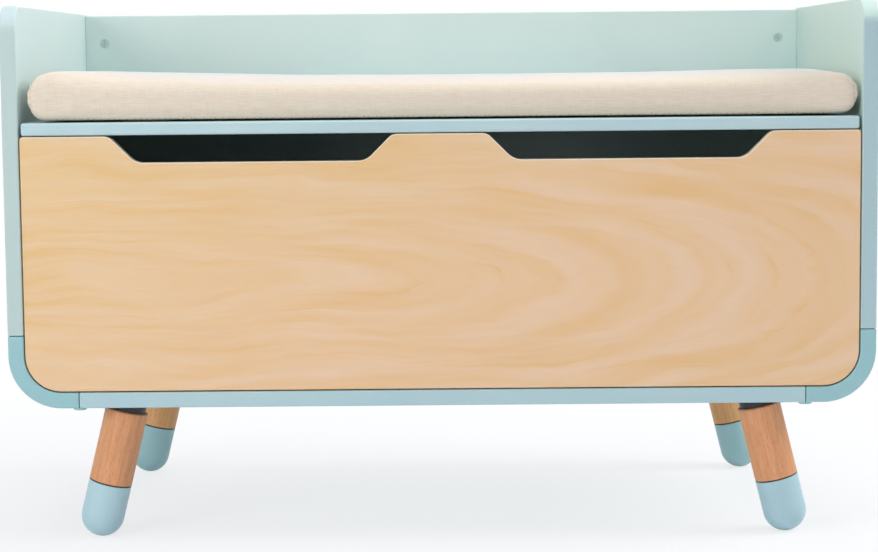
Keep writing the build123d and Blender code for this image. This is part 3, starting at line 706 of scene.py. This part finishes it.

# Legs: turned beech rods, splayed 14 degrees to the sides. Their feet are turned from the same rod,
# dipped in mint lacquer up to a turned groove.
splay, groove_width = math.radians(14), 0.0013
# The rear rods' colours are paler and more orange than the front ones': painted light for rear legs standing
# in the box's shade.
for end, colours in (
    ("front", ("#e6a474", "#dc9766", "#c8885c")), ("rear", ("#f4b578", "#eba86b", "#d99960")),
):
    for side, way in (("left", -1), ("right", 1)):
        down_leg = Vector((way * math.sin(splay), 0.0, -math.cos(splay)))
        foot_top = min(vertex.co.dot(down_leg) for vertex in nodes[f"foot_{end}_{side}"].data.vertices)
        rod = turned_wood(f"turned_beech_{end}_{side}", *colours, down_leg, foot_top - groove_width)
        dress(rod, f"leg_{end}_{side}")
# The front left foot's lacquer is paler than the right one's: painted light for a foot that the lamps reach
# less.
dress(sprayed_lacquer("dipped_mint_lacquer_painted_light_left", "#c1dde2", "#b8d8de"), "foot_front_left")
dress(sprayed_lacquer("dipped_mint_lacquer_right", "#b4d2d8", "#abccd4"), "foot_front_right")
dress(sprayed_lacquer("dipped_mint_lacquer_rear", "#b2d6d6", "#a9d0d2"), "foot_rear_left", "foot_rear_right")

# Screws: raised countersunk steel heads with a cross recess. They hold the battens, cleats, rail, bottom,
# hinges and leg plates; the hinges' lid leaves carry their own with the lid.
screws, given, facing = repeat_group(
    "cross_recess_screws", "Head Radius", "Head Rise", "Recess Width", "Recess Depth",
)
sunk = add(screws, "ShaderNodeMath", {0: given["Head Radius"], 1: 0.5}, operation="MULTIPLY")
cone = add(
    screws, "GeometryNodeMeshCone",
    {"Vertices": 24, "Radius Top": given["Head Radius"], "Radius Bottom": sunk, "Depth": sunk},
)
head_drop = add(screws, "ShaderNodeMath", {0: given["Head Rise"], 1: sunk}, operation="SUBTRACT")
head_place = add(screws, "ShaderNodeCombineXYZ", {2: head_drop})
head = add(screws, "GeometryNodeTransform", {"Geometry": cone, "Translation": head_place})
recess_length = add(screws, "ShaderNodeMath", {0: given["Head Radius"], 1: 1.15}, operation="MULTIPLY")
recess_height = add(screws, "ShaderNodeMath", {0: given["Recess Depth"], 1: 2.0}, operation="MULTIPLY")
blade_size = add(
    screws, "ShaderNodeCombineXYZ", {0: recess_length, 1: given["Recess Width"], 2: recess_height},
)
blade = add(screws, "GeometryNodeMeshCube", {"Size": blade_size})
blade_place = add(screws, "ShaderNodeCombineXYZ", {2: given["Head Rise"]})
first = add(screws, "GeometryNodeTransform", {"Geometry": blade, "Translation": blade_place})
second = add(
    screws, "GeometryNodeTransform",
    {"Geometry": blade, "Translation": blade_place, "Rotation": (0.0, 0.0, math.pi / 2)},
)
cut = head
for blade_cut in (first, second):
    cut = add(screws, "GeometryNodeMeshBoolean", {"Mesh 1": cut, "Mesh 2": blade_cut}, operation="DIFFERENCE")
turn = add(screws, "FunctionNodeRandomValue", {2: 0.0, 3: math.pi / 2, "Seed": 7}, data_type="FLOAT")
spun = add(screws, "ShaderNodeCombineXYZ", {2: turn.outputs[1]})
spin = add(screws, "FunctionNodeEulerToRotation", {0: spun})
settled = add(screws, "FunctionNodeRotateRotation", {0: facing, 1: spin}, rotation_space="LOCAL")
end_group(screws, given, cut, settled, zinc_plate)


def spot_in(name, *shares):
    """A place in a node's box, by its shares of the box's width, depth and height."""
    low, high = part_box(name)
    return Vector([start + share * (end - start) for start, end, share in zip(low, high, shares)])


hinge_row, batten_stagger = 0.02, 0.02
plate_thickness, plate_margin = 0.002, 0.0055
cabinet_heads, lid_heads = [], []
for side, inward, inner in (("left", 1, 1), ("right", -1, 0)):
    for share in (0.2, 0.8):
        cabinet_heads.append((spot_in(f"front_batten_{side}", inner, 0.5, share), (inward, 0, 0)))
    for share in (0.32, 0.68):
        cabinet_heads.append((spot_in(f"front_batten_{side}", 0.5, 1, share), (0, 1, 0)))
    for share in (0.2, 0.8):
        cabinet_heads.append((spot_in(f"lid_cleat_{side}", inner, share, 0.5), (inward, 0, 0)))
    for heads, row_y in ((cabinet_heads, hinge_row), (lid_heads, -hinge_row)):
        for share in (0.14, 0.5, 0.86):
            pin = spot_in(f"hinge_{side}_pin", share, 0.5, 0.5)
            heads.append(((pin.x, pin.y + row_y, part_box("seat_lid")[1].z), (0, 0, 1)))
for share in (0.06, 0.5, 0.94):
    cabinet_heads.append((spot_in("floor_batten", share, 0.5, 1), (0, 0, 1)))
    cabinet_heads.append((spot_in("floor_batten", share + batten_stagger, 1, 0.5), (0, 1, 0)))
for head_x in (-0.23, 0.0, 0.23):
    head_y = spot_in("back_panel", 0.5, 0.5, 0.5).y
    cabinet_heads.append(((head_x, head_y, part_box("bottom_panel")[0].z), (0, 0, -1)))
for head_x in (-0.33, -0.11, 0.11, 0.33):
    head_z = spot_in("rear_seat_rail", 0.5, 0.5, 0.5).z
    cabinet_heads.append(((head_x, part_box("back_panel")[1].y, head_z), (0, 1, 0)))
for corner in corners:
    low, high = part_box(f"leg_plate_{corner}")
    for head_x in (low.x + plate_margin, high.x - plate_margin):
        for head_y in (low.y + plate_margin, high.y - plate_margin):
            cabinet_heads.append(((head_x, head_y, high.z - plate_thickness), (0, 0, -1)))

head_sizes = {"Head Radius": 0.0033, "Head Rise": 0.0004, "Recess Width": 0.0009, "Recess Depth": 0.00033}
for body, heads in (("cabinet", cabinet_heads), ("lid", lid_heads)):
    screw_set = set_out(f"{body}_screws", screws, heads, head_sizes)
    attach(screw_set, body)

# Studio: a pale floor that fades to a white ground, under four softboxes: a broad one above, one to the
# left of the camera, one high at the right and a weak one behind.
floor_mesh = bpy.data.meshes.new("studio_floor")
floor_half, floor_level = 6.0, -0.0004
floor_corners = [
    (x * floor_half, y * floor_half, floor_level) for x, y in ((-1, -1), (1, -1), (1, 1), (-1, 1))
]
floor_mesh.from_pydata(floor_corners, [], [(0, 1, 2, 3)])
floor = bpy.data.objects.new("studio_floor", floor_mesh)
bpy.context.scene.collection.objects.link(floor)


def seen_white(tree):
    """1 for a ray from the camera, also by way of metal or glass, and 0 for light that falls on the box."""
    paths = add(tree, "ShaderNodeLightPath").outputs
    seen = paths["Is Camera Ray"]
    for way in ("Is Glossy Ray", "Is Transmission Ray"):
        seen = add(tree, "ShaderNodeMath", {0: seen, 1: paths[way]}, operation="MAXIMUM")
    return seen


pale_floor, tree, shader = new_material("matt_white_floor")
# The floor is matt and keeps the box's shadow, which grows fainter with distance until all is white.
fade_start, fade_end, least_white = 0.5, 1.1, 0.74
place = add(tree, "ShaderNodeTexCoord").outputs["Object"]
distance = add(tree, "ShaderNodeVectorMath", {0: place}, operation="LENGTH")
fading = add(
    tree, "ShaderNodeMapRange",
    {"Value": distance.outputs[1], "From Min": fade_start, "From Max": fade_end, "To Min": least_white},
    interpolation_type="SMOOTHSTEP",
)
white = add(tree, "ShaderNodeEmission", {"Color": linear("#ffffff"), "Strength": 1.0})
share = add(tree, "ShaderNodeMath", {0: fading, 1: seen_white(tree)}, operation="MULTIPLY")
shader.inputs["Base Color"].default_value = linear("#f4f5f8")
shader.inputs["Roughness"].default_value = 0.8
shader.inputs["Specular IOR Level"].default_value = 0.1
blended = add(tree, "ShaderNodeMixShader", {0: share, 1: shader, 2: white})
tree.links.new(blended.outputs[0], tree.nodes["Material Output"].inputs["Surface"])
floor_mesh.materials.append(pale_floor)

world = bpy.data.worlds.new("white_studio")
world.use_nodes = True
bpy.context.scene.world = world
tree = world.node_tree
tree.nodes.clear()
room = add(tree, "ShaderNodeBackground", {"Color": linear("#eaf2ff"), "Strength": 0.37})
backdrop = add(tree, "ShaderNodeBackground", {"Color": linear("#ffffff"), "Strength": 1.0})
sky = add(tree, "ShaderNodeMixShader", {0: seen_white(tree), 1: room, 2: backdrop})
add(tree, "ShaderNodeOutputWorld", {"Surface": sky})

for name, spot, aim, size, power in (
    ("overhead_softbox", (0.0, -0.35, 2.2), (0.0, 0.0, 0.4), 1.8, 18.5),
    ("left_softbox", (-1.25, -1.6, 0.8), (0.0, -0.2, 0.3), 0.9, 12.2),
    ("right_softbox", (2.4, 0.1, 1.9), (-0.4, 0.0, 0.45), 1.5, 46.0),
    ("rear_softbox", (0.0, 1.7, 1.5), (0.0, 0.0, 0.4), 1.4, 10.5),
):
    lamp = bpy.data.lights.new(name, "AREA")
    lamp.shape = "SQUARE"
    lamp.size = size
    lamp.energy = power
    light = bpy.data.objects.new(name, lamp)
    light.location = spot
    light.rotation_euler = (Vector(aim) - Vector(spot)).to_track_quat("-Z", "Y").to_euler()
    bpy.context.scene.collection.objects.link(light)

# Camera: 2 m in front of the box, just above the seat, looking a little down, with a faint tilt.
eye = Vector((0.01244, -2.24654, 0.4542))
down, aside, tilt = 0.09818, -0.007, 0.00954
ahead = Vector((math.sin(aside) * math.cos(down), math.cos(aside) * math.cos(down), -math.sin(down)))
level = Vector((math.cos(aside), -math.sin(aside), 0.0))
below = ahead.cross(level)
right = math.cos(tilt) * level + math.sin(tilt) * below
downward = -math.sin(tilt) * level + math.cos(tilt) * below
lens = bpy.data.cameras.new("photo_camera")
lens.lens = 89.4
lens.sensor_width = 36.0
lens.sensor_fit = "HORIZONTAL"
camera = bpy.data.objects.new("photo_camera", lens)
turn_to = Matrix((right, -downward, -ahead)).transposed().to_4x4()
camera.matrix_world = Matrix.Translation(eye) @ turn_to
bpy.context.scene.collection.objects.link(camera)
bpy.context.scene.camera = camera
bpy.context.scene.view_settings.view_transform = "Standard"
